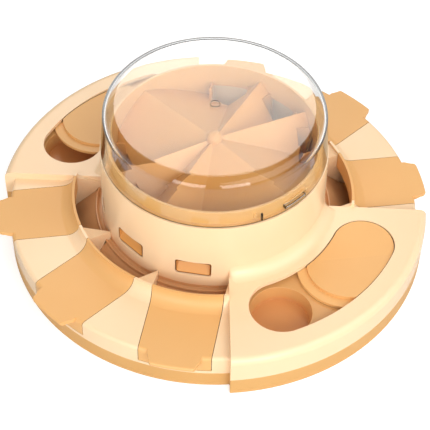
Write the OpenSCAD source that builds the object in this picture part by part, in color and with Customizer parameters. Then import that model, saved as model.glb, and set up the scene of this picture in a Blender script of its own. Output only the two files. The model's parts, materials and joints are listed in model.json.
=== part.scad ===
// Flat treat puzzle feeder, in millimetres, standing on its base with +Z up.
// Six radial sliders close the bays round a covered hopper. Each end lobe has two treat cups
// and one lid that slides round the drum's axis over one cup or the other.

/* [Outline] */
// Radius of the two end lobes
lobe_reach = 153.5; // [152:0.5:156]
// Radius of the two slider quadrants
quad_r = 146.5; // [145:0.5:148]
// Height of the flat lobe tops
lobe_top = 34.2; // [33.8:0.1:35.2]
// Height of the flat slider tops
quad_top = 28.3; // [27.6:0.1:29]
// Height of the rim strip under the lobes
lobe_strip = 14.3; // [13:0.1:15]
// Height of the rim strip under the sliders
quad_strip = 13; // [12:0.1:13.8]
// Wall thickness of the cover
wall = 2.6; // [2.2:0.1:3]
// Rounding of the lobe's outer shoulder
lobe_shoulder = 5.4; // [4.4:0.1:6]
// Rounding of the shoulder over the sliders
quad_shoulder = 2.6; // [2:0.1:3.6]
// Direction of a lobe's end edge, from the lobe's centre line
lobe_end_angle = 43.3; // [43:0.1:44]
// Distance of a lobe's end edge from the centre
lobe_end_off = 14; // [13.6:0.1:14.4]
// Rounding of the lobe ends that face the sliders
lobe_end_round = 4.5; // [4:0.1:5]
// Rounding where the drum meets the lobe tops
foot_fillet = 5; // [3:0.5:6]
// Thickness of the base floor
floor_t = 2.5; // [2:0.1:3]
// Thickness of the base rim
rim_t = 3; // [2.5:0.1:4]

/* [Sliders] */
// Angle between neighbouring sliders
slider_pitch = 36; // [35.8:0.1:36.2]
// Width of a slider
slider_w = 48.5; // [46.5:0.5:48.5]
// Gap between a slider and its slot
slide_gap = 0.4; // [0.3:0.05:0.5]
// How far a slider pulls out
slider_travel = 30; // [20:1:30]
// Radius of the raised lip at a slider's inner end
lip_r = 99.6; // [99:0.1:100.6]
// Thickness of the lip's crest
lip_t = 1.8; // [1.5:0.1:2.4]
// Rise of the lip over the slider's flat top
lip_rise = 9.2; // [8:0.1:9.6]
// Radius reached by the pull tabs
tab_reach = 155.6; // [153:0.1:160]
// Width of a pull tab at its root
tab_w = 35.6; // [30:0.2:40]
// Thickness of a pull tab
tab_t = 3.2; // [2.8:0.1:4]
// Rounding of a pull tab's corners
tab_round = 4.5; // [3:0.5:6]
// Height of the sill left under each slot
sill_h = 2.5; // [2:0.1:3]
// Reach of a slider's side rails under the cover
rail_reach = 2.2; // [1.8:0.1:2.2]
// Thickness of the side rails
rail_t = 2.5; // [2:0.1:3]

/* [Drum] */
// Radius of the drum at its foot
drum_foot_r = 80.6; // [80.4:0.1:81.2]
// Radius of the drum at its rim
drum_rim_r = 79.6; // [79.4:0.1:80]
// Height of the drum's rim
drum_top = 80; // [79:0.1:81]
// Thickness of the drum's wall
drum_wall = 2.5; // [2.2:0.1:2.8]
// Height of the shelf that the drum stands on
shelf_z = 24; // [23:0.5:24.5]
// Width of a window in the drum
window_w = 25; // [22:0.5:26]
// Height of a window
window_h = 13; // [11:0.5:14]
// Height of a window's sill
window_z = 33; // [32.5:0.5:34]
// Rounding of a window's corners
window_round = 2; // [1:0.5:3]

/* [Hopper] */
// Outer radius of the hopper ring
hopper_r = 74.2; // [74:0.1:74.4]
// Thickness of the hopper ring
hopper_wall = 2.2; // [2:0.1:2.4]
// Height of the hopper's rim
hopper_rim = 90.1; // [89:0.1:91]
// Height of the folded floor at its centre
fold_apex = 86; // [84:0.5:87]
// Fall of a ridge from the centre to the ring
ridge_drop = 3; // [2.5:0.5:5]
// Fall of a valley from the centre to the ring
valley_drop = 28; // [25:0.5:30]
// Upright thickness of the folded floor
fold_t = 2.6; // [2.2:0.1:3]
// Radius at which a chute leaves its valley
chute_r = 61; // [58:0.5:63]
// Width of a chute
chute_w = 25.6; // [22:0.2:26]
// Radius of the centre post
hub_r = 5.5; // [4.5:0.1:6.5]
// Height of the centre post's tip
hub_tip = 91.5; // [90:0.5:93]

/* [Dome] */
// Height of the dome's flat top
dome_top = 118.5; // [114:0.5:122]
// Outer radius of the dome at its foot
dome_foot_r = 79.1; // [78.9:0.1:79.5]
// Outer radius of the dome under its shoulder
dome_neck_r = 76.8; // [76:0.1:77.6]
// Rounding of the dome's shoulder
dome_shoulder = 9; // [6:0.5:11]
// Wall thickness of the dome
dome_wall = 2; // [1.8:0.1:2.1]
// Gap between the dome's foot and the drum's rim
dome_gap = 0.4; // [0.3:0.05:0.6]
// Angle covered by a bayonet lug
lug_span = 14; // [10:1:16]
// Height of a bayonet lug
lug_h = 2.6; // [2:0.1:3]
// Twist from locked to free
dome_twist = 14; // [10:1:16]

/* [Cups and lids] */
// How far the middle of the kidney mouth lies inside the middle between drum and lobe rim
mouth_shift = 1.45; // [1.05:0.1:1.85]
// Half the width of the mouth
mouth_half_w = 21.8; // [21.4:0.1:22]
// Angle from the lobe's centre line to a cup's centre
cup_angle = 20.9; // [20.5:0.1:21.2]
// Radius of a cup at its rim
cup_r = 21; // [20:0.1:21.2]
// Radius of a cup at its floor
cup_floor_r = 19.4; // [18:0.1:19.8]
// Depth of a cup
cup_depth = 10.4; // [9:0.1:13]
// Thickness of the cup tray
tray_t = 2.2; // [1.8:0.1:2.4]
// Gap round a lid's cap
lid_gap = 0.6; // [0.4:0.1:0.8]
// Gap above and below a lid's flange
flange_gap = 0.4; // [0.3:0.05:0.5]
// Thickness of a lid's flange
flange_t = 2.2; // [1.8:0.1:2.4]
// Reach of a lid's flange under the cover
flange_reach = 2; // [1.5:0.1:2.4]
// Radius of a lid's free end
lid_end_r = 28; // [26:0.5:30]
// Angle of the free end's centre
lid_end_angle = 9; // [8.5:0.1:10]
// Step from the cap's free end to the flange's
lid_step = 7; // [5:0.5:8]
// Depth of the fold across a lid's top
lid_fold = 1.6; // [1:0.1:2]
// Turn of the left lid from its stop
left_lid_turn = 13.3; // [0:0.1:20]

/* [Screws] */
// Radius of a screw's shank
screw_r = 1.5; // [1.2:0.1:1.7]
// Radius of a screw's head
screw_head_r = 3.4; // [3:0.1:3.6]
// Height of a screw's head
screw_head_h = 2.2; // [1.8:0.1:2.4]
// Length of a screw's shank
screw_len = 12; // [9:0.5:13]

/* [Hidden] */
$fn = 96;
far = 400;
eps = 0.05;
close_fit = 0.05;

// Slider angles: three on the near side, then three on the far side
near_mid = 270;
far_mid = 90;

// Angles that the ramps, the slider frames and the hollow in a frame take up about the drum
ramp_span = 3 * slider_pitch;
frame_span = 3.5 * slider_pitch;
hollow_span = 4 * slider_pitch;

// Lobe ends, slots and the heights at the sliders
lobe_foot_off = lobe_end_off - lobe_end_round;
fillet_land = 0.4;
slot_half = slider_w / 2 + slide_gap;
plate_under = quad_top - wall;
lip_top = quad_top + lip_rise;
sill_top = quad_strip + sill_h;
tab_taper = 2;
apron_foot = sill_top + slide_gap;
lip_wall_h = 5;
lip_wall_foot = quad_top - lip_wall_h;
lip_lap = 1;

// Side rails and the track they run in: a pulled slider's rails stop at the outer wall
rail_top = plate_under - slide_gap;
rail_foot = rail_top - rail_t;
rail_half = slider_w / 2 + rail_reach;
rail_web = 4;
rail_x = lip_r + lip_t / 2;
rail_stop_x = sqrt(pow(quad_r - wall, 2) - pow(rail_half, 2)) - slide_gap;
rail_len = rail_stop_x - slider_travel - rail_x;
track_side = rail_half + slide_gap;
track_rib = 1.8;
ledge_top = rail_foot - slide_gap;
ledge_t = 2;
ledge_w = 2;
bay_rib_drop = 2;

// Drum radius at a height, and the clear bore through the lobes for it
drum_draft = (drum_foot_r - drum_rim_r) / (drum_top - shelf_z);
function drum_r_at(z) = drum_foot_r - drum_draft * (z - shelf_z);
drum_bore_r = drum_foot_r + close_fit;
seat_drop = 5;
hopper_seat_z = window_z - seat_drop;
hopper_seat_t = 2.5;
seat_lap = 1;
hopper_in_r = hopper_r - hopper_wall;
hopper_flange_t = 2;
hopper_flange_gap = 0.2;
fold_r = hopper_in_r - close_fit;

// Bay ramps
ramp_shelf_w = 1.6;
ramp_lap = 5.9;
ramp_run = 7;
ramp_shelf_r = drum_foot_r + ramp_shelf_w;
ramp_in_r = drum_foot_r - ramp_lap;
ramp_out_r = lip_r + ramp_run;
ramp_t = 2.4;
ramp_toe = 1;
ramp_side = 0.8;

// Folded floor: slopes of the valleys and ridges, and the ridge offsets beside a slider
valley_slope = atan(valley_drop / fold_r);
ridge_slope = atan(ridge_drop / fold_r);
inner_ridge = slider_pitch / 2;
lobe_ridge = 90 - slider_pitch;
fold_depth = 12;
fold_low = fold_apex - valley_drop - fold_depth;
bore_r = hub_r + close_fit;
column_r = 9;
column_top = fold_apex - valley_drop * column_r / fold_r - fold_t;
outlet_top = 71;
outlet_gap = 0.6;
outlet_w = chute_w + outlet_gap;
chute_wall = 1.8;
chute_t = 2.6;
chute_z = fold_apex - valley_drop * chute_r / fold_r;
chute_gap = 0.4;
chute_out_r = drum_r_at(window_z) - drum_wall - chute_gap;
chute_slope = (chute_z - window_z) / (chute_out_r - chute_r);
spout_t = 2.3;
spout_w = chute_w - outlet_gap;
spout_lap = 4;

// Dome and bayonet
dome_foot = drum_top + dome_gap;
dome_neck_z = dome_top - dome_shoulder;
lug_lift = 1.2;
lug_foot = dome_foot + lug_lift;
lug_top = lug_foot + lug_h;
rib_gap = 0.4;
lug_in_r = hopper_r + rib_gap;
lug_lap = 0.7;
rib_reach = 1.6;
rib_r = hopper_r + rib_reach;
rib_t = 1.4;
stop_span = 1.5;
lug_end_gap = 1.5;
gate_r = 3.5;
gate_t = 0.5;
gate_h = 0.4;

// Lid, flange and cup tray heights from the lobe's top plate down
lobe_under = lobe_top - wall;
flange_top = lobe_under - flange_gap;
flange_foot = flange_top - flange_t;
tray_top = flange_foot - flange_gap;
cup_floor_z = tray_top - cup_depth;
mouth_r = (drum_foot_r + lobe_reach) / 2 - mouth_shift;
tray_edge = 3;
tray_in_r = mouth_r - mouth_half_w - tray_edge;
tray_out_r = mouth_r + mouth_half_w + tray_edge;
tray_half_angle = cup_angle + asin((mouth_half_w + tray_edge) / mouth_r);
fold_line_angle = 14;
fold_line_turn = 39;

// Screws and their bosses
boss_z = 7;
boss_r = 3.6;
base_boss_r = 5.6;
head_z = 1.6;
head_gap = 0.6;
head_bore_r = screw_head_r + head_gap;
head_seat_z = head_z + screw_head_h;
tip_gap = 1;
screw_hole_top = head_seat_z + screw_len + tip_gap;
boss_gap = 0.6;
screw_inset = rim_t + base_boss_r + boss_gap;
lobe_screw_r = lobe_reach - screw_inset;
lobe_screw_angle = lobe_end_angle - asin((lobe_foot_off + screw_inset) / lobe_screw_r);
spoke_inset = 16.5;
spoke_screw_r = quad_r - spoke_inset;

// Shapes shared by several pieces

// Block from the origin to w by h with its far top corner rounded
module rounded_block(w, h, r) {
    square([w, h - r]);
    square([w - r, h]);
    translate([w - r, h - r]) circle(r);
}

// Ring sector as a wedge of an upright prism, from angle a to angle b
module sector(r, a, b) {
    span = b - a;
    rotate(a) intersection() {
        circle(r);
        polygon([[0, 0], [far, 0], far * [cos(span / 2), sin(span / 2)], far * [cos(span), sin(span)]]);
    }
}

// Turn about Z to a slider's direction
module at(a) {
    rotate([0, 0, a]) children();
}

// Upright slab along +X between two distances from the centre line
module slab(x0, x1, half, z0, z1) {
    translate([x0, -half, z0]) cube([x1 - x0, 2 * half, z1 - z0]);
}

// Region of the plan on a lobe's side of its two end edges
module lobe_wedge(off) {
    intersection() {
        rotate(lobe_end_angle) translate([-far, -off - far]) square([2 * far, far]);
        rotate(-lobe_end_angle) translate([-far, off]) square([2 * far, far]);
    }
}

// Plan of the right lobe, drawn in by inset
module lobe_plan(inset) {
    intersection() {
        circle(lobe_reach - inset);
        lobe_wedge(lobe_foot_off + inset);
    }
}

// Outline of the base, drawn in by inset
module base_plan(inset) {
    circle(quad_r - inset);
    lobe_plan(inset);
    rotate(180) lobe_plan(inset);
}

// Prism along a lobe's end edge with its top edge rounded
module lobe_end(inset) {
    at(lobe_end_angle) translate([0, -lobe_foot_off - inset, 0]) rotate([90, 0, 90])
        linear_extrude(height = far) mirror([1, 0])
            rounded_block(far, lobe_top - inset, lobe_end_round - inset);
}

// Right lobe as a solid, with its shoulder and ends rounded, drawn in by inset
module lobe_solid(inset, foot) {
    intersection() {
        translate([0, 0, foot]) rotate_extrude()
            rounded_block(lobe_reach - inset, lobe_top - inset - foot, lobe_shoulder - inset);
        lobe_end(inset);
        mirror([0, 1, 0]) lobe_end(inset);
    }
}

// Kidney outline of the mouth, widened by grow
module mouth_plan(grow) {
    difference() {
        sector(mouth_r + mouth_half_w + grow, -cup_angle, cup_angle);
        circle(mouth_r - mouth_half_w - grow);
    }
    for (s = [-1, 1])
        rotate(s * cup_angle) translate([mouth_r, 0]) circle(mouth_half_w + grow);
}

// Places of the screws in the near half of the plan, turned to the other half by turn
module screw_places() {
    for (turn = [0, 180]) {
        for (s = [-1, 1]) {
            at(turn + s * lobe_screw_angle) translate([lobe_screw_r, 0, 0]) children();
            at(turn + far_mid + s * inner_ridge) translate([spoke_screw_r, 0, 0]) children();
        }
    }
}

// Base tray

module base_floor() {
    color("#E9B47C") difference() {
        union() {
            linear_extrude(height = floor_t) base_plan(0);
            screw_places() cylinder(r = base_boss_r, h = boss_z);
        }
        screw_places() {
            translate([0, 0, -eps]) cylinder(r = head_bore_r, h = head_seat_z + eps);
            cylinder(r = screw_r + close_fit, h = boss_z + eps);
        }
    }
}

module base_rim() {
    color("#E9B47C") {
        translate([0, 0, floor_t]) linear_extrude(height = quad_strip - floor_t) difference() {
            base_plan(0);
            base_plan(rim_t);
        }
        for (turn = [0, 180])
            at(turn) translate([0, 0, quad_strip - eps])
                linear_extrude(height = lobe_strip - quad_strip + eps) difference() {
                    lobe_plan(0);
                    lobe_plan(rim_t);
                    circle(quad_r);
                }
    }
}

// Ramp that carries treats from under the drum into the three bays on one side
module ramp(mid) {
    color("#DFA96F") {
        at(mid - ramp_span / 2) rotate_extrude(angle = ramp_span)
            translate([ramp_in_r, floor_t]) square([drum_foot_r - ramp_in_r, shelf_z - floor_t]);
        for (i = [-1, 0, 1])
            at(mid + i * slider_pitch) intersection() {
                at(-slider_pitch / 2) rotate_extrude(angle = slider_pitch)
                    polygon([[drum_foot_r - eps, shelf_z - ramp_t], [drum_foot_r - eps, shelf_z],
                        [ramp_shelf_r, shelf_z], [ramp_out_r, floor_t + ramp_toe],
                        [ramp_out_r, floor_t], [ramp_out_r - ramp_t, floor_t],
                        [ramp_shelf_r - ramp_toe, shelf_z - ramp_t]]);
                slab(0, far, slider_w / 2 - ramp_side, 0, far);
            }
    }
}

// Top cover

// Section of the sliders and of the cover between them, from the lip out to the shoulder
module quad_section() {
    translate([lip_r, 0]) rounded_block(quad_r - lip_r, quad_top, quad_shoulder);
    translate([lip_r, quad_top - lip_lap]) difference() {
        square([lip_t + lip_rise, lip_rise + lip_lap]);
        translate([lip_t + lip_rise, lip_rise + lip_lap]) circle(lip_rise);
        translate([lip_t + lip_rise, lip_lap]) square([far, far]);
    }
}

// Section of the cover before it is hollowed, with the rib that separates the bays
module frame_section() {
    rib_end_r = lip_r + lip_t / 2;
    difference() {
        union() {
            quad_section();
            polygon([[drum_bore_r, 0], [rib_end_r, 0], [rib_end_r, lip_top - bay_rib_drop],
                [drum_bore_r, quad_top]]);
        }
        square([far, floor_t]);
        translate([quad_r - rim_t - close_fit, 0]) square([far, quad_strip]);
    }
}

// Cover on one side of the drum: four spokes round three slider slots
module frame(mid) {
    color("#FBE6C3") difference() {
        at(mid - frame_span / 2) rotate_extrude(angle = frame_span) frame_section();
        frame_hollow(mid);
        for (i = [-1, 0, 1])
            at(mid + i * slider_pitch) slider_slot();
        for (turn = [0, 180])
            at(turn) linear_extrude(height = far) lobe_wedge(lobe_foot_off);
        for (s = [-1, 1])
            at(mid + s * inner_ridge) translate([spoke_screw_r, 0, 0])
                cylinder(r = screw_r + close_fit, h = screw_hole_top);
    }
}

// Space under the cover, less the ribs, ledges and screw bosses that stay in it
module frame_hollow(mid) {
    difference() {
        at(mid - hollow_span / 2) rotate_extrude(angle = hollow_span)
            translate([lip_r + wall, 0]) square([quad_r - lip_r - 2 * wall, plate_under]);
        for (i = [-1, 0, 1], side = [0, 1])
            at(mid + i * slider_pitch) mirror([0, side, 0]) slider_track();
        for (s = [-1, 1])
            at(mid + s * inner_ridge) translate([spoke_screw_r, 0, boss_z]) cylinder(r = boss_r, h = far);
    }
}

// Space cut for one slider, leaving a sill in the outer wall
module slider_slot() {
    slab(0, far, slot_half, sill_top, far);
    intersection() {
        slab(0, far, slot_half, 0, far);
        cylinder(r = quad_r - 2 * wall, h = far);
    }
}

// Rib with the ledge that carries a slider's rail, along one side of its slot
module slider_track() {
    rotate([90, 0, 90]) linear_extrude(height = far)
        polygon([[track_side, 0], [track_side + track_rib, 0], [track_side + track_rib, far],
            [track_side, far], [track_side, ledge_top], [track_side - ledge_w, ledge_top],
            [track_side - ledge_w, ledge_top - ledge_t], [track_side, ledge_top - ledge_t]]);
}

// Hollow rounding on the lobe's top against the drum, cut off at the lobe's end edges
module drum_foot_fillet() {
    intersection() {
        rotate_extrude() translate([drum_foot_r - fillet_land, lobe_under]) difference() {
            square([foot_fillet + 2 * fillet_land, wall + foot_fillet]);
            translate([foot_fillet + 2 * fillet_land, wall + foot_fillet]) circle(foot_fillet);
        }
        linear_extrude(height = far) lobe_wedge(lobe_end_off);
    }
}

// Lobe shell with its kidney mouth
module lobe() {
    color("#FBE6C3") difference() {
        union() {
            difference() {
                lobe_solid(0, lobe_strip);
                lobe_solid(wall, 0);
            }
            drum_foot_fillet();
            for (s = [-1, 1])
                at(s * lobe_screw_angle) translate([lobe_screw_r, 0, boss_z])
                    cylinder(r = boss_r, h = lobe_under - boss_z + eps);
        }
        cylinder(r = drum_bore_r, h = far);
        linear_extrude(height = far) mouth_plan(0);
        for (s = [-1, 1])
            at(s * lobe_screw_angle) translate([lobe_screw_r, 0, 0])
                cylinder(r = screw_r + close_fit, h = screw_hole_top);
    }
}

module drum() {
    seat_out_r = drum_r_at(hopper_seat_z) - seat_lap;
    color("#FBE6C3") difference() {
        rotate_extrude() {
            polygon([[drum_foot_r - drum_wall, shelf_z], [drum_foot_r, shelf_z],
                [drum_rim_r, drum_top], [drum_rim_r - drum_wall, drum_top]]);
            translate([hopper_in_r, hopper_seat_z - hopper_seat_t])
                square([seat_out_r - hopper_in_r, hopper_seat_t]);
        }
        for (mid = [near_mid, far_mid], i = [-1, 0, 1])
            at(mid + i * slider_pitch) window_cut();
    }
}

// Rounded window through the drum's wall
module window_cut() {
    translate([drum_foot_r - 2 * drum_wall, 0, window_z + window_h / 2]) rotate([90, 0, 90])
        linear_extrude(height = 4 * drum_wall) rounded_square(window_w, window_h, window_round);
}

// Centred rectangle with rounded corners
module rounded_square(w, h, r) {
    square([w - 2 * r, h], center = true);
    square([w, h - 2 * r], center = true);
    for (x = [-1, 1], y = [-1, 1])
        translate([x * (w / 2 - r), y * (h / 2 - r)]) circle(r);
}

// Hopper

module hopper_ring() {
    seat_bore_r = drum_r_at(hopper_seat_z) - drum_wall;
    color("#EDB77D") difference() {
        union() {
            rotate_extrude() {
                translate([hopper_in_r, hopper_seat_z]) square([hopper_wall, hopper_rim - hopper_seat_z]);
                translate([hopper_r - eps, hopper_seat_z])
                    square([seat_bore_r - hopper_flange_gap - hopper_r, hopper_flange_t]);
                translate([hopper_r - eps, drum_top - hopper_flange_t])
                    square([drum_rim_r - drum_wall - hopper_r - close_fit, hopper_flange_t]);
            }
            for (turn = [0, 180])
                at(turn) bayonet_ribs();
        }
        for (mid = [near_mid, far_mid], i = [-1, 0, 1])
            at(mid + i * slider_pitch) slab(fold_r - spout_lap, far, outlet_w / 2, window_z, outlet_top);
    }
}

// Ribs on the collar: one over the locked lug that ends in a stop, and a stop for the free lug
module bayonet_ribs() {
    lock_end = lug_span / 2 + lug_end_gap;
    free_end = -lug_span / 2 - dome_twist - lug_end_gap;
    way_top = lug_top + rib_gap;
    difference() {
        at(-lug_span / 2) rotate_extrude(angle = lock_end + lug_span / 2 + stop_span)
            rib_section(hopper_r - eps, rib_r, lug_foot, way_top + rib_t);
        at(-lug_span) rotate_extrude(angle = lug_span + lock_end)
            rib_section(hopper_r - wall, rib_r + wall, lug_foot - wall, way_top);
    }
    at(free_end - stop_span) rotate_extrude(angle = stop_span)
        rib_section(hopper_r - eps, rib_r, lug_foot, way_top + rib_t);
}

// Section of a rib between two radii and two heights
module rib_section(in_r, out_r, foot, top) {
    translate([in_r, foot]) square([out_r - in_r, top - foot]);
}

// Solid under the folded surface: a ring with a tilted V groove cut along each valley
module fold_solid(out_r, in_r) {
    difference() {
        translate([0, 0, fold_low]) cylinder(r = out_r, h = fold_apex - fold_low);
        translate([0, 0, fold_low - fold_depth]) cylinder(r = in_r, h = far);
        for (mid = [near_mid, far_mid]) {
            at(mid) fold_groove(inner_ridge, inner_ridge);
            at(mid + slider_pitch) fold_groove(lobe_ridge, inner_ridge);
            at(mid - slider_pitch) fold_groove(inner_ridge, lobe_ridge);
        }
    }
}

// Direction of a ridge at angle d from a valley, seen along that valley
function ridge_side(d) = cos(ridge_slope) * sin(d);
function ridge_rise(d) =
    cos(ridge_slope) * cos(d) * sin(valley_slope) - sin(ridge_slope) * cos(valley_slope);

// V groove along +X whose faces run up to ridges at the angles left and right of it
module fold_groove(left, right) {
    left_x = far * ridge_side(left);
    right_x = -far * ridge_side(right);
    translate([0, 0, fold_apex]) rotate([0, valley_slope, 0]) rotate([90, 0, 90])
        linear_extrude(height = 1.5 * fold_r)
            polygon([[0, 0], [left_x, far * ridge_rise(left)], [left_x, far],
                [right_x, far], [right_x, far * ridge_rise(right)]]);
}

// Folded plate with six chutes: each has side walls under the plate and a spout to its window
module hopper_floor() {
    color("#F0BC84") difference() {
        union() {
            difference() {
                fold_solid(fold_r, bore_r);
                translate([0, 0, -fold_t]) fold_solid(fold_r + wall, bore_r - wall);
            }
            for (mid = [near_mid, far_mid], i = [-1, 0, 1])
                at(mid + i * slider_pitch) {
                    intersection() {
                        over_slope(-chute_t, chute_w / 2 + chute_wall, chute_r);
                        translate([0, 0, -fold_t / 2]) fold_solid(fold_r - chute_wall / 2, bore_r);
                    }
                    intersection() {
                        over_slope(-spout_t, spout_w / 2, fold_r - spout_lap);
                        cylinder(r = chute_out_r, h = chute_z);
                    }
                }
        }
        for (mid = [near_mid, far_mid], i = [-1, 0, 1])
            at(mid + i * slider_pitch) over_slope(0, chute_w / 2, chute_r);
    }
}

// Space over a chute's slope, raised by lift, from a start radius out past the drum
module over_slope(lift, half, start_r) {
    end_r = drum_foot_r + drum_wall;
    start_z = chute_z - chute_slope * (start_r - chute_r) + lift;
    end_z = chute_z - chute_slope * (end_r - chute_r) + lift;
    translate([0, half, 0]) rotate([90, 0, 0]) linear_extrude(height = 2 * half)
        polygon([[start_r, start_z], [start_r, far], [end_r, far], [end_r, end_z]]);
}

module centre_column() {
    color("#F0BC84") rotate_extrude() {
        translate([0, floor_t]) square([column_r, column_top - floor_t]);
        translate([0, floor_t]) square([hub_r, hub_tip - hub_r - floor_t]);
        translate([0, hub_tip - hub_r]) intersection() {
            circle(hub_r);
            square([hub_r, hub_r]);
        }
    }
}

module cover_screws() {
    color("#9A9CA0") screw_places() {
        translate([0, 0, head_z]) cylinder(r = screw_head_r, h = screw_head_h);
        translate([0, 0, head_z + screw_head_h - eps]) cylinder(r = screw_r, h = screw_len + eps);
    }
}

// Clear dome

// Section of the dome, drawn in by inset
module dome_section(inset) {
    neck = dome_neck_r - inset;
    round = dome_shoulder - inset;
    polygon([[0, dome_foot], [dome_foot_r - inset, dome_foot], [neck, dome_neck_z], [0, dome_neck_z]]);
    translate([0, dome_neck_z - eps]) square([neck - round, dome_top - inset - dome_neck_z + eps]);
    translate([neck - round, dome_neck_z]) intersection() {
        circle(round);
        translate([-eps, -eps]) square([far, far]);
    }
}

module dome() {
    color([0.9, 0.95, 0.97, 0.3]) {
        rotate_extrude() difference() {
            dome_section(0);
            dome_section(dome_wall);
            square([dome_foot_r - dome_wall, dome_foot + dome_wall]);
        }
        for (turn = [0, 180])
            at(turn - lug_span / 2) rotate_extrude(angle = lug_span)
                translate([lug_in_r, lug_foot]) square([dome_foot_r - dome_wall + lug_lap - lug_in_r, lug_h]);
        translate([0, 0, dome_top - eps]) linear_extrude(height = gate_h + eps) difference() {
            circle(gate_r);
            circle(gate_r - gate_t);
        }
    }
}

// Sliders

// Section of a slider: lip, plate and front apron
module slider_section() {
    difference() {
        quad_section();
        translate([lip_r + wall, -far + plate_under]) square([quad_r - lip_r - 2 * wall, far]);
        square([lip_r + wall + eps, lip_wall_foot]);
        translate([quad_r - wall - eps, 0]) square([far, apron_foot]);
    }
}

// Section of a pull tab with a round nose
module tab_section() {
    translate([quad_r - wall, quad_top - tab_t]) square([tab_reach - tab_t / 2 - quad_r + wall, tab_t]);
    translate([tab_reach - tab_t / 2, quad_top - tab_t / 2]) circle(tab_t / 2);
}

// Plan of a pull tab, narrowing to its rounded corners
module tab_plan() {
    root_x = quad_r - 2 * wall;
    corner_x = tab_reach - tab_round;
    corner_y = tab_w / 2 - tab_taper - tab_round;
    polygon([[root_x, -tab_w / 2], [quad_r, -tab_w / 2], [corner_x, -corner_y - tab_round],
        [tab_reach, -corner_y], [tab_reach + tab_t, 0], [tab_reach, corner_y],
        [corner_x, corner_y + tab_round], [quad_r, tab_w / 2], [root_x, tab_w / 2]]);
    for (s = [-1, 1])
        translate([corner_x, s * corner_y]) circle(tab_round);
}

module slider(a) {
    color("#EDB279") at(a) {
        intersection() {
            at(-slider_pitch / 2) rotate_extrude(angle = slider_pitch) slider_section();
            slab(0, far, slider_w / 2, 0, far);
        }
        intersection() {
            at(-slider_pitch / 2) rotate_extrude(angle = slider_pitch) tab_section();
            linear_extrude(height = far) tab_plan();
        }
        for (s = [0, 1])
            mirror([0, s, 0]) {
                translate([rail_x, slider_w / 2 - rail_web, rail_foot])
                    cube([rail_len, rail_web + rail_reach, rail_t]);
                translate([rail_x, slider_w / 2 - rail_web, rail_foot])
                    cube([rail_len, rail_web, plate_under - rail_foot + eps]);
            }
    }
}

// Cups and lids

module cup_tray() {
    color("#E2AC72") difference() {
        union() {
            translate([0, 0, tray_top - tray_t]) linear_extrude(height = tray_t) intersection() {
                difference() {
                    sector(tray_out_r, -tray_half_angle, tray_half_angle);
                    circle(tray_in_r);
                }
                lobe_plan(wall + slide_gap);
            }
            for (s = [-1, 1])
                at(s * cup_angle) translate([mouth_r, 0, floor_t])
                    cylinder(r = cup_r + tray_t, h = tray_top - floor_t);
        }
        for (s = [-1, 1]) {
            at(s * lobe_screw_angle) translate([lobe_screw_r, 0, 0]) cylinder(r = boss_r + slide_gap, h = far);
            at(s * cup_angle) translate([mouth_r, 0, 0]) {
                translate([0, 0, cup_floor_z])
                    cylinder(r1 = cup_floor_r, r2 = cup_r, h = tray_top - cup_floor_z + eps);
                translate([0, 0, floor_t - eps])
                    cylinder(r = cup_floor_r, h = cup_floor_z - tray_t - floor_t + eps);
            }
        }
    }
}

// Plan of a lid over the cup at +cup_angle: mouth outline up to a round free end
module lid_plan(grow, end_grow) {
    intersection() {
        mouth_plan(grow);
        union() {
            rotate(lid_end_angle) translate([mouth_r, 0]) circle(lid_end_r + end_grow);
            sector(far, lid_end_angle, 90);
        }
    }
}

module lid() {
    color("#EDB279") difference() {
        union() {
            translate([0, 0, flange_foot]) linear_extrude(height = flange_t) lid_plan(flange_reach, lid_step);
            translate([0, 0, flange_top - eps]) linear_extrude(height = lobe_top - flange_top + eps)
                lid_plan(-lid_gap, 0);
        }
        at(fold_line_angle) translate([mouth_r, 0, lobe_top - lid_fold]) at(fold_line_turn)
            for (s = [0, 1])
                mirror([0, s, 0]) rotate([atan(lid_fold / (2 * mouth_half_w)), 0, 0])
                    translate([-far / 2, -eps, 0]) cube([far, far / 2, far / 2]);
    }
}

// Nodes

base_floor();
base_rim();
ramp(near_mid);  // ramp_near
ramp(far_mid);  // ramp_far
frame(near_mid);  // frame_near
frame(far_mid);  // frame_far
lobe();  // lobe_right
rotate([0, 0, 180]) lobe();  // lobe_left
cup_tray();  // cup_tray_right
rotate([0, 0, 180]) cup_tray();  // cup_tray_left
drum();
hopper_ring();
hopper_floor();
centre_column();
cover_screws();
dome();
slider(near_mid - slider_pitch);  // slider_1
slider(near_mid);  // slider_2
slider(near_mid + slider_pitch);  // slider_3
slider(far_mid - slider_pitch);  // slider_4
slider(far_mid);  // slider_5
slider(far_mid + slider_pitch);  // slider_6
lid();  // lid_right
rotate([0, 0, 180 + left_lid_turn]) mirror([0, 1, 0]) lid();  // lid_left
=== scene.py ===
import json
import math
import bmesh
import bpy
import numpy as np
from mathutils import Matrix, Vector


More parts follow.
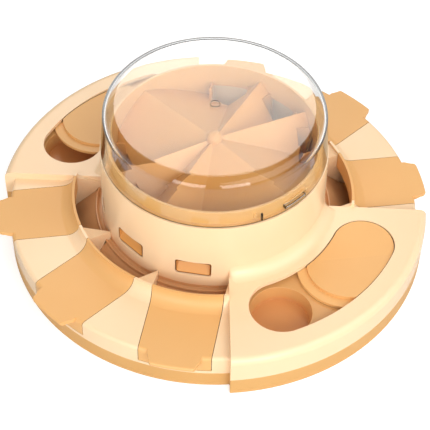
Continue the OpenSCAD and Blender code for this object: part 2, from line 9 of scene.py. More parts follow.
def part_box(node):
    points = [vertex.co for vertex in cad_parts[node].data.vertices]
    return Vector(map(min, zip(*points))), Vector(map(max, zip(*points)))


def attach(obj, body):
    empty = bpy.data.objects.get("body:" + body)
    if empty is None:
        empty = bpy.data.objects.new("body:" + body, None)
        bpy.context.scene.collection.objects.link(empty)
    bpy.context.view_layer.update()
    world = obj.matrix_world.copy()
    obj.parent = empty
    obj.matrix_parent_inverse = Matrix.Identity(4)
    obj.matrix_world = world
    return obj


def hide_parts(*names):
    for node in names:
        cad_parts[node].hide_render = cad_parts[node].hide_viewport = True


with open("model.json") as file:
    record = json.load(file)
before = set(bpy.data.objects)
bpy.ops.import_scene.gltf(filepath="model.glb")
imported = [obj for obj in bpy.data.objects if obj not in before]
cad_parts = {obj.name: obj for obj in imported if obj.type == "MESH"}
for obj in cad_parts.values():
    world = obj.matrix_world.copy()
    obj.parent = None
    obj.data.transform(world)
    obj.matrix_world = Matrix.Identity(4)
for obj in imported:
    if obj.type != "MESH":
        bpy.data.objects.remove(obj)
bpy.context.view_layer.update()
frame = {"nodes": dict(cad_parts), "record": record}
nodes = frame["nodes"]
record = frame["record"]
mm = 0.001  # the dictionaries below give lengths in millimetres, angles in degrees and colours as sRGB
print("frame loaded:", len(nodes), "nodes")


def linear(hexColour):
    # sRGB hex to linear light
    part = np.array([int(hexColour[i:i + 2], 16) for i in (1, 3, 5)]) / 255
    value = np.where(part <= 0.04045, part / 12.92, ((part + 0.055) / 1.055) ** 2.4)
    return (*value.tolist(), 1.0)


def addNode(tree, kind, settings=None, links=None):
    # settings: property, or socket name or number, to value; links: socket to (node, its output)
    node = tree.nodes.new(kind)
    for key, value in (settings or {}).items():
        if isinstance(key, str) and hasattr(node, key):
            setattr(node, key, value)
        else:
            node.inputs[key].default_value = value
    for key, (source, output) in (links or {}).items():
        tree.links.new(source.outputs[output], node.inputs[key])
    return node


def newTree(name):
    material = bpy.data.materials.new(name)
    material.use_nodes = True
    material.node_tree.nodes.clear()
    return material, material.node_tree


colourA, colourB, colourResult = 6, 7, 2  # colour sockets of a Mix node, whose names repeat
# Shared by the moulded pieces and the screws: detail of flow and grain, drift of the gloss, how open a gap
# is when its painted shade starts and when it is darkest, and how far light wanders under a plastic's skin
moulding = dict(flowDetail=3.0, grainDetail=1.0, glossDrift=0.05, gapReach=2.0, gapFrom=0.4, gapTo=0.2,
                gapSamples=8, bend=1.49, glowDepth=1.5, glowSpread=(1.0, 0.7, 0.45))
# Satin mould: soft broad highlights, and painted shade, thin dark lines in the gaps where sliders and lids
# meet the cover
coverLook = dict(name="cream polypropylene, satin mould", light="#F8D7AF", deep="#F5D2A7", gapShade="#5A3416",
                 rough=0.25, flow=70, grain=0.7, relief=0.006, glow=0.08, edge=0.6)
# The same plastic on the drum, where no piece slides and no painted gap shade is drawn
drumLook = dict(coverLook, name="cream polypropylene, drum, satin mould", gapShade=None, edge=0.3)
# Duller satin mould of sliders and lids: their lips and folds shade softly, and their gaps get the painted
# shade too
sliderLook = dict(name="tan polypropylene, satin mould", light="#E8B473", deep="#E2AB69", gapShade="#5A3416",
                  rough=0.42, flow=60, grain=0.7, relief=0.006, glow=0.08, edge=0.4)
# Polished mould of the cup trays: a clearer shine, and painted shade, darker and redder from the ledge down
# into the cups
innerLook = dict(name="tan polypropylene, polished mould", light="#D8A265", deep="#CF985B",
                 rough=0.3, flow=55, grain=0.7, relief=0.004, glow=0.1, edge=0.25,
                 depthShade="#D69358", depthShadeFrom=22.0, depthShadeTo=18.6)
# Polished mould of folded floor and post: even facets of a deep tan under the dome, a darker copy of the
# collar's tan that paints the shade inside it
hopperLook = dict(name="tan polypropylene, hopper, polished mould", light="#D3964C", deep="#C98B43",
                  rough=0.34, flow=55, grain=0.7, relief=0.002, glow=0.1, edge=0.5)
# Polished mould of the collar round the dome: paler and yellower than the floor inside it
ringLook = dict(name="tan polypropylene, collar, polished mould", light="#D5A463", deep="#CC9A59",
                rough=0.34, flow=55, grain=0.7, relief=0.002, glow=0.1, edge=0.5)
# Sparked mould of the base: a coarser texture that dulls the shine
baseLook = dict(name="tan polypropylene, sparked mould", light="#DAA866", deep="#D29F5C",
                rough=0.45, flow=60, grain=0.9, relief=0.012, glow=0.06, edge=0.6)
# Zinc plating on headed steel: a grey sheen, patchy over a few millimetres
steelLook = dict(name="zinc plated steel, cold headed", light="#B4B6B8", deep="#8E9092",
                 rough=0.32, flow=3, grain=0.4, relief=0.004)


def partSurface(look):
    # Two close tones drift over the piece as its melt flowed, or as zinc settled on the screws, the gloss
    # drifts with them, and a fine texture, drawn coarser than the real 0.1 mm, breaks up the highlights
    material, tree = newTree(look["name"])
    place = addNode(tree, "ShaderNodeTexCoord")
    flow = addNode(tree, "ShaderNodeTexNoise",
                   {"Scale": 1 / (look["flow"] * mm), "Detail": moulding["flowDetail"]},
                   {"Vector": (place, "Object")})
    tone = addNode(tree, "ShaderNodeMix",
                   {"data_type": "RGBA", colourA: linear(look["light"]), colourB: linear(look["deep"])},
                   {0: (flow, "Fac")})
    layers = []
    # Painted shade: the colour turns darker and redder from one height down to a lower one
    if "depthShade" in look:
        split = addNode(tree, "ShaderNodeSeparateXYZ", {}, {"Vector": (place, "Object")})
        depth = addNode(tree, "ShaderNodeMapRange",
                        {"From Min": look["depthShadeFrom"] * mm, "From Max": look["depthShadeTo"] * mm},
                        {"Value": (split, "Z")})
        layers.append((look["depthShade"], depth, "Result"))
    # Painted shade along the marked edges
    if "edgeShade" in look:
        mark = addNode(tree, "ShaderNodeAttribute", {"attribute_name": "mark"})
        layers.append((look["edgeShade"], mark, "Fac"))
    if look.get("gapShade"):
        # Painted shade: where ambient occlusion finds a narrow gap between pieces, the colour turns dark
        gap = addNode(tree, "ShaderNodeAmbientOcclusion",
                      {"samples": moulding["gapSamples"], "Distance": moulding["gapReach"] * mm})
        shut = addNode(tree, "ShaderNodeMapRange",
                       {"From Min": moulding["gapFrom"], "From Max": moulding["gapTo"]},
                       {"Value": (gap, "AO")})
        layers.append((look["gapShade"], shut, "Result"))
    for colour, source, output in layers:
        tone = addNode(tree, "ShaderNodeMix", {"data_type": "RGBA", colourB: linear(colour)},
                       {0: (source, output), colourA: (tone, colourResult)})
    drift = moulding["glossDrift"]
    gloss = addNode(tree, "ShaderNodeMapRange",
                    {"To Min": look["rough"] - drift, "To Max": look["rough"] + drift},
                    {"Value": (flow, "Fac")})
    grain = addNode(tree, "ShaderNodeTexNoise",
                    {"Scale": 1 / (look["grain"] * mm), "Detail": moulding["grainDetail"]},
                    {"Vector": (place, "Object")})
    relief = addNode(tree, "ShaderNodeBump", {"Distance": look["relief"] * mm}, {"Height": (grain, "Fac")})
    if "glow" in look:
        substance = {"IOR": moulding["bend"], "Subsurface Weight": look["glow"],
                     "Subsurface Radius": moulding["glowSpread"],
                     "Subsurface Scale": moulding["glowDepth"] * mm}
    else:
        substance = {"Metallic": 1.0}  # the screws' steel
    skin = addNode(tree, "ShaderNodeBsdfPrincipled", substance,
                   {"Base Color": (tone, colourResult), "Roughness": (gloss, "Result"),
                    "Normal": (relief, "Normal")})
    addNode(tree, "ShaderNodeOutputMaterial", {}, {"Surface": (skin, "BSDF")})
    return material


slotLook = dict(cream_cover=coverLook, tan_base=baseLook, tan_slider=sliderLook, tan_inner=innerLook,
                tan_hopper=hopperLook, screw_steel=steelLook)
ownLook = dict(drum=drumLook, hopper_ring=ringLook)  # nodes that differ from their slot
slotMaterial = {slotName: partSurface(look) for slotName, look in slotLook.items()}
ownMaterial = {nodeName: partSurface(look) for nodeName, look in ownLook.items()}
print("materials ready:", len(slotMaterial) + len(ownMaterial))


def joinScene(piece, body, replaced):
    bpy.context.scene.collection.objects.link(piece)
    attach(piece, body)
    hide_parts(*replaced)


seamGap = 0.0001  # grid points closer than this are one


def addPiece(name, parts, material, body, replaced, marks=None):
    # One object from several closed grids, given as (points, faces); marks are values for each point
    points = []
    faces = []
    count = 0
    for partPoints, partFaces in parts:
        points.append(partPoints.reshape(-1, 3) * mm)
        faces.append(partFaces + count)
        count += len(points[-1])
    mesh = bpy.data.meshes.new(name)
    mesh.from_pydata(np.concatenate(points).tolist(), [], np.concatenate(faces).tolist())
    for label, values in (marks or {}).items():
        mesh.attributes.new(label, "FLOAT", "POINT").data.foreach_set("value", values)
    merged = bmesh.new()
    merged.from_mesh(mesh)
    bmesh.ops.remove_doubles(merged, verts=merged.verts, dist=seamGap * mm)
    bmesh.ops.recalc_face_normals(merged, faces=merged.faces)
    merged.to_mesh(mesh)
    merged.free()
    mesh.shade_smooth()
    mesh.materials.append(material)
    piece = bpy.data.objects.new(name, mesh)
    joinScene(piece, body, replaced)
    return piece


def gridFaces(rows, columns, closeRows, closeColumns):
    # Quads of a grid of points stored row by row, joined round where it closes
    row = np.arange(rows if closeRows else rows - 1)[:, None]
    column = np.arange(columns if closeColumns else columns - 1)[None, :]
    nextRow = (row + 1) % rows
    nextColumn = (column + 1) % columns
    corners = [row * columns + column, row * columns + nextColumn,
               nextRow * columns + nextColumn, nextRow * columns + column]
    return np.stack(corners, axis=-1).reshape(-1, 4)


def arc(centre, radius, first, last, count):
    # Points of a circle's arc from the first to the last angle
    angle = np.radians(np.linspace(first, last, count))
    return np.stack([centre[0] + radius * np.cos(angle), centre[1] + radius * np.sin(angle)], -1)


def revolved(profile, count):
    # Closed surface of revolution: each profile point of radius and height goes round the axis
    angle = np.radians(np.linspace(0, 360, count, endpoint=False))
    radius = profile[:, :1]
    height = np.repeat(profile[:, 1:], count, axis=1)
    points = np.stack([radius * np.cos(angle), radius * np.sin(angle), height], -1)
    return points, gridFaces(len(profile), count, True, True)


def closedRun(section, along):
    # A section repeated at each place along a path, and once more at both ends, shrunk to its middle
    along = np.concatenate([along[:1], along, along[-1:]])
    size = np.ones(len(along))
    size[[0, -1]] = 0
    middle = section.mean(axis=0)
    return along, middle + size[:, None, None] * (section - middle)


def facing(angle, out, across, up):
    # Points measured outwards, across and up, turned to face an angle round the axis
    return np.stack([out * np.cos(angle) - across * np.sin(angle),
                     out * np.sin(angle) + across * np.cos(angle), up], -1)


cornerSteps = 4  # points round each corner of an arc block
blockSteps = 25  # sections along an arc block


def arcBlock(block, middleAngle, span, edgeRound):
    # Round-cornered section of radius and height, taken along an arc about the axis, with closed ends
    left = block["inner"] + edgeRound
    right = block["outer"] - edgeRound
    low = block["low"] + edgeRound
    high = block["high"] - edgeRound
    corners = [((right, low), -90), ((right, high), 0), ((left, high), 90), ((left, low), 180)]
    section = np.concatenate([arc(centre, edgeRound, first, first + 90, cornerSteps)
                              for centre, first in corners])
    angles = np.linspace(middleAngle - span / 2, middleAngle + span / 2, blockSteps)
    angles, spread = closedRun(section, angles)
    turn = np.radians(angles)[:, None]
    points = np.stack([spread[..., 0] * np.cos(turn), spread[..., 0] * np.sin(turn), spread[..., 1]], -1)
    return points, gridFaces(len(angles), len(section), False, True)


# Clear dome: its look, with the colour and reach of its painted shade on cut edges and outline, its shell
# with the gate ring on top, the two lugs of the twist lock, the two stop ribs beside them, and the number of
# points on each stretch of the shell
clearDome = dict(name="clear polystyrene, polished mould", tint="#FDFEFE", edge="#0E0C0A", shade="#EAEAEA",
                 rough=0.02, bend=1.5, flow=40, flowDetail=1.0, relief=0.01, shine=0.7,
                 rimFrom=0.74, rimTo=0.8, rimDark=0.9, shoulderRim=1.3,
                 wall=2.0, shoulder=9.0, lean=2.3, footRound=0.6, gate=3.25, gateWidth=0.5, gateRise=0.4,
                 lugAngles=(0.0, 180.0), lugSpan=14.0, lugLift=1.2, lugHeight=2.6, lugDepth=4.5,
                 lugSink=0.25, lugFace=0.05, blockRound=0.4,
                 ribAngles=(-20.4, 159.6), ribSpan=0.8, ribLift=0.3, ribHeight=6.2, ribDepth=1.1,
                 turns=256, wallSteps=24, bendSteps=15, topSteps=12, ceilingSteps=16, gateSteps=9,
                 footSteps=7)


def clearSurface(look):
    # Clear moulded plastic: bends the view at its walls, lets lamps through, and its long ripples, drawn
    # from the melt's flow, keep the reflections from being perfect; cut edges and the grazing outline are
    # painted shade
    material, tree = newTree(look["name"])
    place = addNode(tree, "ShaderNodeTexCoord")
    flow = addNode(tree, "ShaderNodeTexNoise",
                   {"Scale": 1 / (look["flow"] * mm), "Detail": look["flowDetail"]},
                   {"Vector": (place, "Object")})
    relief = addNode(tree, "ShaderNodeBump", {"Distance": look["relief"] * mm}, {"Height": (flow, "Fac")})
    gloss = addNode(tree, "ShaderNodeMapRange", {"To Max": 2 * look["rough"]}, {"Value": (flow, "Fac")})
    mark = addNode(tree, "ShaderNodeAttribute", {"attribute_name": "mark"})
    grazing = addNode(tree, "ShaderNodeLayerWeight")
    share = addNode(tree, "ShaderNodeAttribute", {"attribute_name": "rim"})
    outline = addNode(tree, "ShaderNodeMath", {"operation": "MULTIPLY"},
                      {0: (grazing, "Facing"), 1: (share, "Fac")})
    rim = addNode(tree, "ShaderNodeMapRange",
                  {"From Min": look["rimFrom"], "From Max": look["rimTo"], "To Max": look["rimDark"]},
                  {"Value": (outline, 0)})
    dark = addNode(tree, "ShaderNodeMath", {"operation": "MAXIMUM"}, {0: (mark, "Fac"), 1: (rim, "Result")})
    # Painted shade: marked edges and the grazing outline pull the tint towards the dark edge colour
    tint = addNode(tree, "ShaderNodeMix",
                   {"data_type": "RGBA", colourA: linear(look["tint"]), colourB: linear(look["edge"])},
                   {0: (dark, 0)})
    shine = (look["shine"],) * 3 + (1.0,)
    glass = addNode(tree, "ShaderNodeBsdfPrincipled",
                    {"Transmission Weight": 1.0, "IOR": look["bend"], "Specular Tint": shine},
                    {"Base Color": (tint, colourResult), "Roughness": (gloss, "Result"),
                     "Normal": (relief, "Normal")})
    through = addNode(tree, "ShaderNodeBsdfTransparent", {"Color": linear(look["shade"])})
    ray = addNode(tree, "ShaderNodeLightPath")
    mixed = addNode(tree, "ShaderNodeMixShader", {},
                    {0: (ray, "Is Shadow Ray"), 1: (glass, "BSDF"), 2: (through, "BSDF")})
    addNode(tree, "ShaderNodeOutputMaterial", {}, {"Surface": (mixed, "Shader")})
    return material


def domeParts(form):
    # Shell: one closed profile up the outer wall, over the rounded shoulder, along the flat top and its
    # gate ring to the axis, then back under the top and down the inner wall to the rounded foot
    low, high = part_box("dome")
    lowest = low.z / mm
    foot = lowest + form["footRound"]
    top = high.z / mm - form["gateRise"]
    footR = high.x / mm
    neckR = footR - form["lean"]
    wall = form["wall"]
    inside = footR - wall
    gate = form["gate"]
    gateWidth = form["gateWidth"]
    shoulderR = form["shoulder"]
    bend = (neckR - shoulderR, top - shoulderR)
    gateTurn = np.linspace(0, math.pi, form["gateSteps"])
    gateRing = np.stack([gate + gateWidth / 2 * np.cos(gateTurn),
                         top + form["gateRise"] * np.sin(gateTurn)], -1)
    footTurn = np.linspace(0, math.pi, form["footSteps"])
    footBend = np.stack([footR - wall / 2 - wall / 2 * np.cos(footTurn),
                         foot - form["footRound"] * np.sin(footTurn)], -1)
    wallUp = np.linspace([footR, foot], [neckR, bend[1]], form["wallSteps"])[:-1]
    shoulder = arc(bend, shoulderR, 0, 90, form["bendSteps"])
    shell = np.concatenate([
        wallUp,
        shoulder,
        np.linspace([bend[0], top], [gate + gateWidth, top], form["topSteps"])[1:],
        gateRing,
        np.array([[gate - gateWidth, top], [gate / 2, top], [0, top], [0, top - wall]]),
        np.linspace([0, top - wall], [bend[0], top - wall], form["ceilingSteps"])[1:-1],
        arc(bend, shoulderR - wall, 90, 0, form["bendSteps"]),
        np.linspace([neckR - wall, bend[1]], [inside, foot], form["wallSteps"])[1:],
        footBend[1:-1]])
    turns = form["turns"]
    parts = [revolved(shell, turns)]
    # Painted shade: the foot's cut edge is painted dark, and so are the ribs, the lugs' ends and the lugs'
    # long edges
    marks = [np.repeat(np.clip(1 - (shell[:, 1] - lowest) / form["footRound"], 0, 1), turns)]
    lugLow = lowest + form["lugLift"]
    lug = dict(inner=footR - form["lugDepth"], outer=inside + form["lugSink"],
               low=lugLow, high=lugLow + form["lugHeight"])
    rib = dict(inner=inside - form["ribDepth"], outer=footR - wall / 2,
               low=lowest + form["ribLift"], high=lowest + form["ribHeight"])
    ribDark = np.ones(4 * cornerSteps)  # a block's section has four corners
    corner = np.ones(cornerSteps)
    corner[[0, -1]] = form["lugFace"]
    lugDark = np.tile(corner, 4)
    blocks = [(lug, angle, form["lugSpan"], lugDark) for angle in form["lugAngles"]]
    blocks += [(rib, angle, form["ribSpan"], ribDark) for angle in form["ribAngles"]]
    for block, angle, span, dark in blocks:
        points, faces = arcBlock(block, angle, span, form["blockRound"])
        ends = np.zeros(points.shape[:2])
        ends[[0, 1, -2, -1]] = 1  # the end faces
        parts.append((points, faces))
        marks.append(np.maximum(ends, dark).ravel())
    marks = np.concatenate(marks)
    # Painted shade: the outer face alone gets a dark outline where it is seen at grazing angles, broader on
    # its shoulder
    rim = np.zeros(len(marks))
    wallCount = len(wallUp) * turns
    rim[:wallCount] = 1
    rim[wallCount:wallCount + len(shoulder) * turns] = form["shoulderRim"]
    return parts, dict(mark=marks, rim=rim)


slotMaterial["clear_dome"] = clearSurface(clearDome)
domeGrids, domeMarks = domeParts(clearDome)
dome = addPiece("dome_clear", domeGrids, slotMaterial["clear_dome"], "dome", ["dome"],
                domeMarks)
print("dome ready:", len(dome.data.polygons), "faces")

# Spout ends that line the drum's windows: polished like the hopper, with painted shade, a dark line round the
# front edge
spoutEnds = dict(name="tan polypropylene, spout ends, polished mould", light="#DE9F57", deep="#D6954D",
                 rough=0.34, flow=55, grain=0.7, relief=0.002, glow=0.1, edgeShade="#8A5426",
                 angles=(234.0, 270.0, 306.0, 54.0, 90.0, 126.0), wide=25.0, tall=13.0, sill=33.25,
                 corner=2.0, cornerSteps=7, gap=0.45, lip=0.6, lipDepth=0.3, thick=1.0, rise=6.9,
                 inner=75.8, outer=80.15)


def spoutParts(form):
    # Spout end in each window: the first parameter goes round a round-cornered rectangle, the second
    # through its wall from outside back to inside back; the inside's low half rises towards the back
    # as the chute does, and the front edge is bent to the drum's round
    half = np.array([form["wide"], form["tall"]]) / 2 - form["gap"]
    corner = form["corner"]
    steps = form["cornerSteps"]
    inset = half - corner
    corners = [(1, -1, -90), (1, 1, 0), (-1, 1, 90), (-1, -1, 180)]  # sides of the middle, first angle
    outside = np.concatenate([arc((x * inset[0], y * inset[1]), corner, first, first + 90, steps)
                              for x, y, first in corners])
    normal = np.concatenate([arc((0, 0), 1, first, first + 90, steps) for x, y, first in corners])
    front = outside - form["lip"] * normal
    back = outside - form["thick"] * normal
    back[:, 1] += form["rise"] * (normal[:, 1] < 0)
    loops = np.stack([outside, outside, front, front, back])
    reach = np.array([form["inner"], form["outer"], form["outer"], form["outer"] - form["lipDepth"],
                      form["inner"]])
    across = loops[..., 0]
    out = np.sqrt(reach[:, None] ** 2 - across ** 2)
    up = loops[..., 1] + form["sill"] + form["tall"] / 2
    faces = gridFaces(len(loops), len(outside), True, True)
    parts = [(facing(angle, out, across, up), faces) for angle in np.radians(form["angles"])]
    marks = np.zeros(up.shape)
    # Painted shade: the front edge is marked to be drawn dark
    marks[1:3] = 1  # the front edge
    return parts, dict(mark=np.tile(marks.ravel(), len(parts)))


spoutGrids, spoutMarks = spoutParts(spoutEnds)
spouts = addPiece("spout_ends", spoutGrids, partSurface(spoutEnds), "housing", [], spoutMarks)
spouts.data.shade_flat()
print("spout ends ready:", len(spoutGrids))

# Ramp of each bay, polished like the cups: its section is radius and height from the drum outwards, over
# a gutter and a small treat stop, down the slope and back; a ring below the drum joins three ramps
bayRamps = dict(name="tan polypropylene, ramps, polished mould", light="#E2AE7C", deep="#DAA572",
                rough=0.34, flow=55, grain=0.7, relief=0.004, glow=0.1, halfWide=24.5, steps=40,
                section=((80.3, 21.6), (82.6, 21.4), (83.4, 21.9), (83.9, 23.2), (84.3, 23.6), (84.9, 23.6),
                         (85.2, 23.3), (85.4, 21.3), (106.6, 3.5), (106.6, 2.5), (104.2, 2.5), (84.0, 19.0),
                         (80.3, 19.2)),
                ring=dict(inner=74.7, outer=80.55, low=2.5, high=23.95), ringAngles=(90.0, 270.0),
                ringSpan=108.0, ringRound=0.3, sharp=40.0)


def rampParts(form):
    # A section of radius and height runs across the bay between its parallel sides, so that each point
    # keeps its radius, and its ends are closed
    section = np.array(form["section"])
    across, spread = closedRun(section, form["halfWide"] * np.linspace(-1, 1, form["steps"]))
    across = across[:, None]
    out = np.sqrt(spread[..., 0] ** 2 - across ** 2)
    faces = gridFaces(len(across), len(section), False, True)
    parts = [arcBlock(form["ring"], middle, form["ringSpan"], form["ringRound"])
             for middle in form["ringAngles"]]
    parts += [(facing(angle, out, across, spread[..., 1]), faces)
              for angle in np.radians(spoutEnds["angles"])]
    return parts


ramps = addPiece("bay_ramps", rampParts(bayRamps), partSurface(bayRamps), "housing",
                 ["ramp_near", "ramp_far"])
ramps.data.set_sharp_from_angle(angle=math.radians(bayRamps["sharp"]))
print("ramps ready:", len(ramps.data.polygons), "faces")

# Rounding between drum and lobes: endAngle and endOff place the lobe's end edges, endRound rounds them
drumFillets = dict(radius=9.0, drum=80.36, top=34.22, turns=(0.0, 180.0), endAngle=43.3, endOff=9.55,
                   endRound=4.5, depth=0.8, sharp=40.0, hollowSteps=25, endSteps=9, alongSteps=65)


def filletParts(form):
    # Hollow rounding between the drum and each lobe's top: a quarter circle in section, taken round the
    # drum between the lobe's end edges, where it sinks by those edges' own rounding
    radius = form["radius"]
    drum = form["drum"]
    top = form["top"]
    depth = form["depth"]
    endRound = form["endRound"]
    section = np.concatenate([arc((drum + radius, top + radius), radius, 180, 270, form["hollowSteps"]),
                              np.array([[drum + radius - depth, top - depth], [drum - depth, top - depth],
                                        [drum - depth, top + radius - depth]])])
    inset = endRound * (1 - np.cos(np.linspace(0, math.pi / 2, form["endSteps"])))
    sink = endRound - np.sqrt(endRound ** 2 - (endRound - inset) ** 2)
    out = section[:, :1]
    end = np.radians(form["endAngle"]) - np.arcsin((form["endOff"] + inset) / out)
    middle = end[:, -1:] * np.linspace(1, -1, form["alongSteps"])[1:-1]
    angle = np.concatenate([end[:, :1], end, middle, -end[:, ::-1], -end[:, :1]], axis=1)
    drop = np.concatenate([sink[:1], sink, np.zeros(middle.shape[1]), sink[::-1], sink[:1]])
    faces = gridFaces(len(section), angle.shape[1], True, False)
    parts = []
    for turn in np.radians(form["turns"]):
        points = np.stack([out * np.cos(angle + turn), out * np.sin(angle + turn), section[:, 1:] - drop], -1)
        points[:, 0] = points[:, 1].mean(axis=0)
        points[:, -1] = points[:, -2].mean(axis=0)
        parts.append((points, faces))
    return parts


fillets = addPiece("drum_fillets", filletParts(drumFillets), ownMaterial["drum"], "housing",
                   [])
fillets.data.set_sharp_from_angle(angle=math.radians(drumFillets["sharp"]))
print("fillets ready:", len(fillets.data.polygons), "faces")

# Mould edges: triangles within flatAngle become one face, then edges past fromAngle are rounded. Fine nodes
# have small faces that leave less room, so their rounding is held back, and a folded node keeps its crease
mouldEdges = dict(segments=3, fromAngle=32.0, mergeGap=0.002, flatAngle=0.4, foldAngle=2.0, foldUp=0.98,
                  fine=("lobe", "frame", "drum", "slider", "lid"), folded=("lid_right", "lid_left"))


def softEdged(nodeName, width, material, body):
    # Copy of a CAD node whose sharp edges are rounded as a mould's are
    mesh = nodes[nodeName].data.copy()
    merged = bmesh.new()
    merged.from_mesh(mesh)
    bmesh.ops.remove_doubles(merged, verts=merged.verts, dist=mouldEdges["mergeGap"] * mm)
    bmesh.ops.dissolve_limit(merged, angle_limit=math.radians(mouldEdges["flatAngle"]),
                             verts=merged.verts, edges=merged.edges)
    folds = []
    if nodeName in mouldEdges["folded"]:
        folds = [edge.index for edge in merged.edges if len(edge.link_faces) == 2
                 and min(face.normal.z for face in edge.link_faces) > mouldEdges["foldUp"]
                 and edge.calc_face_angle() > math.radians(mouldEdges["foldAngle"])]
    merged.to_mesh(mesh)
    merged.free()
    mesh.shade_smooth()
    for index in folds:
        mesh.edges[index].use_edge_sharp = True
    mesh.materials.clear()
    mesh.materials.append(material)
    piece = bpy.data.objects.new(nodeName + "_soft", mesh)
    rounding = piece.modifiers.new("edge", "BEVEL")
    rounding.width = width * mm
    rounding.segments = mouldEdges["segments"]
    rounding.limit_method = "ANGLE"
    rounding.angle_limit = math.radians(mouldEdges["fromAngle"])
    rounding.use_clamp_overlap = nodeName.startswith(mouldEdges["fine"])
    rounding.miter_outer = "MITER_ARC"
    flat = piece.modifiers.new("flat", "WEIGHTED_NORMAL")
    flat.keep_sharp = True
    joinScene(piece, body, [nodeName])


slotOfNode = {part["node"]: part["material_slot"] for part in record["subparts"]}
bodyOfNode = {nodeName: body for body, members in record["behaviour"]["bodies"].items()
              for nodeName in members}
keptNodes = ("ramp_near", "ramp_far", "dome", "cover_screws")  # replaced above, or shown as they are
for nodeName in sorted(nodes):
    slotName = slotOfNode[nodeName]
    mesh = nodes[nodeName].data
    mesh.materials.clear()
    mesh.materials.append(slotMaterial[slotName])
    if nodeName not in keptNodes:
        look = ownLook.get(nodeName, slotLook[slotName])
        finish = ownMaterial.get(nodeName, slotMaterial[slotName])
        softEdged(nodeName, look["edge"], finish, bodyOfNode[nodeName])
print("edges rounded:", len(nodes) - len(keptNodes), "nodes")

# Paper floor and room: floorGlow lifts the paper to white, ambient is the room's light on the part, and
# darkField is the room as clear plastic shows it
studio = dict(floor="#D8D8D8", floorReach=6000, floorGlow=0.78, white="#FFFFFF", ambient=0.48,
              darkField=0.14, aimHeight=50)
# Lamps stand round the camera's line: side is degrees to the right of it, height is degrees above the
# table, and strength is the brightness of the lamp's face
lamps = dict(behind=dict(side=182, height=43.5, away=1700, wide=680, tall=580, strength=4.1,
                         colour="#FFFAF2"),
             frontLeft=dict(side=-22.5, height=24, away=1800, wide=860, tall=900, strength=4.8),
             frontRight=dict(side=20, height=24, away=1800, wide=780, tall=900, strength=4.9),
             sideRight=dict(side=60, height=44, away=1800, wide=2200, tall=1500, strength=1.65))
# Fitted to edges in the photo: the camera's distance from the origin, its height over the table and its
# turn round the part as angles, then how it is pitched, yawed and rolled
photoCamera = dict(distance=960.06, height=47.1216, turn=45.1046, pitch=46.7538, yaw=0.1422, roll=1.3759,
                   lens=108.517)


def addLamp(name, lamp):
    turn = math.radians(photoCamera["turn"] + lamp["side"])
    height = math.radians(lamp["height"])
    aim = Vector((0, 0, studio["aimHeight"] * mm))
    away = Vector((math.sin(turn) * math.cos(height), -math.cos(turn) * math.cos(height), math.sin(height)))
    light = bpy.data.lights.new(name, "AREA")
    light.shape = "RECTANGLE"
    light.color = linear(lamp.get("colour", studio["white"]))[:3]
    wide = lamp["wide"] * mm
    tall = lamp["tall"] * mm
    light.size = wide
    light.size_y = tall
    light.energy = lamp["strength"] * math.pi * wide * tall
    lightObject = bpy.data.objects.new(name, light)
    lightObject.location = aim + lamp["away"] * mm * away
    lightObject.rotation_euler = (-away).to_track_quat("-Z", "Y").to_euler()
    bpy.context.scene.collection.objects.link(lightObject)


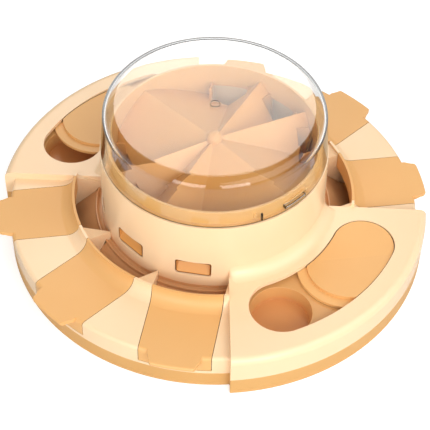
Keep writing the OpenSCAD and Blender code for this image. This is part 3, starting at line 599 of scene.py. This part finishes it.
def buildStudio():
    # White paper under the part: it glows where the camera sees it, straight or through the dome
    mesh = bpy.data.meshes.new("floor")
    reach = studio["floorReach"] * mm
    corners = [(-reach, -reach, 0), (reach, -reach, 0), (reach, reach, 0), (-reach, reach, 0)]
    mesh.from_pydata(corners, [], [(0, 1, 2, 3)])
    floor = bpy.data.objects.new("floor", mesh)
    bpy.context.scene.collection.objects.link(floor)
    material, tree = newTree("white paper sweep")
    paper = linear(studio["floor"])
    ray = addNode(tree, "ShaderNodeLightPath")
    matte = addNode(tree, "ShaderNodeBsdfDiffuse", {"Color": paper})
    glow = addNode(tree, "ShaderNodeEmission", {"Color": paper, "Strength": studio["floorGlow"]})
    both = addNode(tree, "ShaderNodeAddShader", {}, {0: (matte, 0), 1: (glow, 0)})
    seen = addNode(tree, "ShaderNodeMath", {"operation": "MAXIMUM"},
                   {0: (ray, "Is Camera Ray"), 1: (ray, "Is Transmission Ray")})
    mixed = addNode(tree, "ShaderNodeMixShader", {}, {0: (seen, 0), 1: (matte, 0), 2: (both, 0)})
    addNode(tree, "ShaderNodeOutputMaterial", {}, {"Surface": (mixed, 0)})
    mesh.materials.append(material)
    world = bpy.data.worlds.new("studio")
    world.use_nodes = True
    bpy.context.scene.world = world
    # Seen through clear plastic the room is dark, which draws the dome's outline as thin dark lines
    tree = world.node_tree
    tree.nodes.clear()
    ray = addNode(tree, "ShaderNodeLightPath")
    level = addNode(tree, "ShaderNodeMapRange", {"To Min": studio["ambient"], "To Max": studio["darkField"]},
                    {"Value": (ray, "Is Transmission Ray")})
    back = addNode(tree, "ShaderNodeBackground", {"Color": linear(studio["white"])},
                   {"Strength": (level, "Result")})
    addNode(tree, "ShaderNodeOutputWorld", {}, {"Surface": (back, "Background")})
    for name, lamp in lamps.items():
        addLamp(name, lamp)


def buildCamera():
    turn = Matrix.Rotation(math.radians(photoCamera["turn"]), 3, "Z")
    height, pitch, yaw, roll = (math.radians(photoCamera[key]) for key in ("height", "pitch", "yaw", "roll"))
    distance = photoCamera["distance"] * mm
    place = turn @ Vector((0, -distance * math.cos(height), distance * math.sin(height)))
    forward = Vector((math.sin(yaw) * math.cos(pitch), math.cos(yaw) * math.cos(pitch), -math.sin(pitch)))
    right = forward.cross(Vector((0, 0, 1))).normalized()
    up = right.cross(forward)
    rolledRight = math.cos(roll) * right + math.sin(roll) * up
    rolledUp = math.cos(roll) * up - math.sin(roll) * right
    axes = [turn @ rolledRight, turn @ rolledUp, turn @ -forward]
    camera = bpy.data.cameras.new("photo")
    camera.lens = photoCamera["lens"]
    cameraObject = bpy.data.objects.new("photo", camera)
    cameraObject.matrix_world = Matrix.Translation(place) @ Matrix(axes).transposed().to_4x4()
    bpy.context.scene.collection.objects.link(cameraObject)
    bpy.context.scene.camera = cameraObject


buildStudio()
buildCamera()
bpy.context.scene.view_settings.view_transform = "Standard"
print("studio ready:", len(lamps), "lamps")
